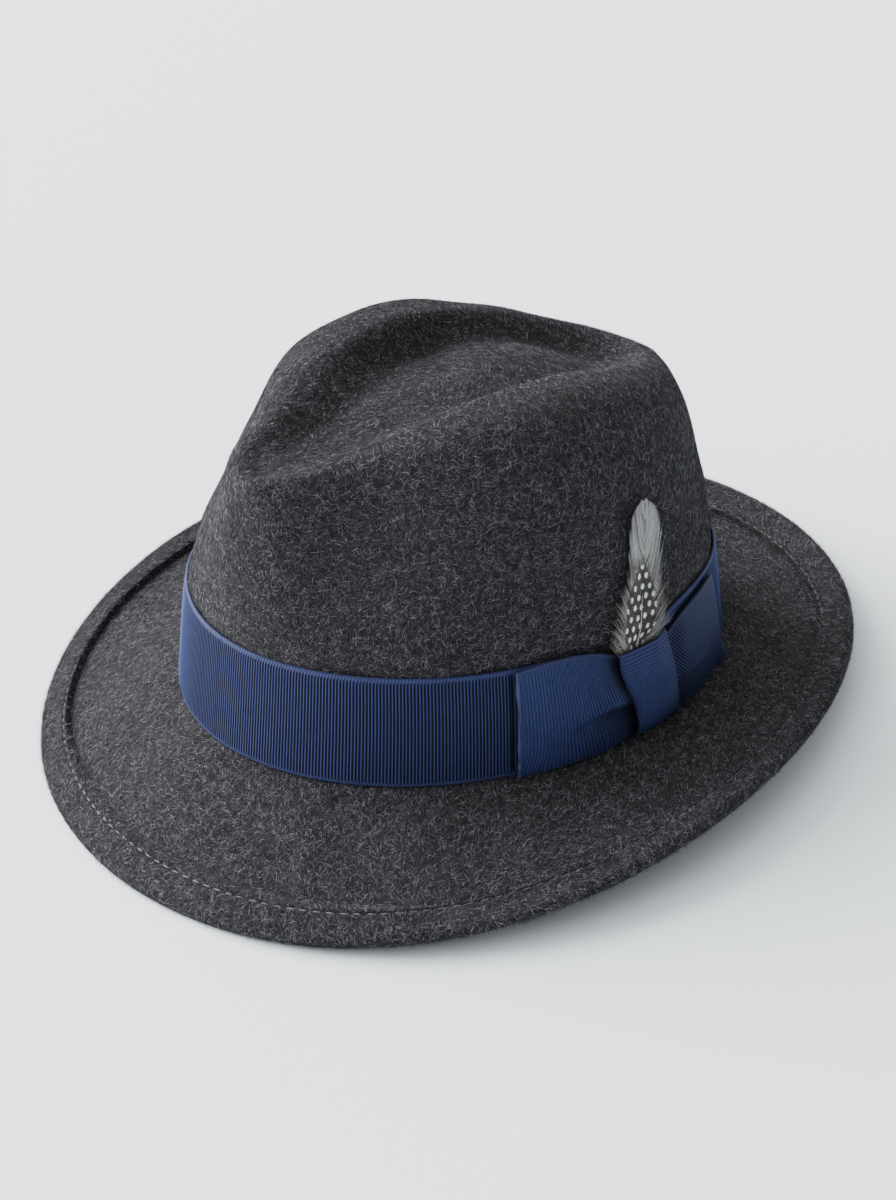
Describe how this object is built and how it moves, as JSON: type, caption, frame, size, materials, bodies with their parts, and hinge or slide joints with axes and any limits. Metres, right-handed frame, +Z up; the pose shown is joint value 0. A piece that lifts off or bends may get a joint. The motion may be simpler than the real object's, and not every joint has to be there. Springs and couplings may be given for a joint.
{
  "type": "fedora",
  "caption": "Felt fedora with a teardrop crown, a snap brim with a folded stitched edge, a ribbon band, a flat bow and two feathers.",
  "frame": {"origin": "middle of the hat's outline on the surface it rests on", "axes": "+Z up from the surface, front of the hat towards -Y, the wearer's left, with the bow, towards +X"},
  "size_m": [0.28, 0.3024, 0.1299],
  "materials": {
    "felt": "charcoal heathered wool felt with a short brushed nap",
    "ribbon": "navy grosgrain, fine ribs, soft sheen",
    "grey_feather": "plain grey feather vane, soft sheen",
    "spotted_feather": "dark feather with rows of white dots"
  },
  "bodies": {
    "root": {"felt_body": "felt", "ribbon_band": "ribbon", "bow_wings": "ribbon", "bow_knot": "ribbon", "grey_feather": "grey_feather", "spotted_feather": "spotted_feather"}
  },
  "joints": []
}
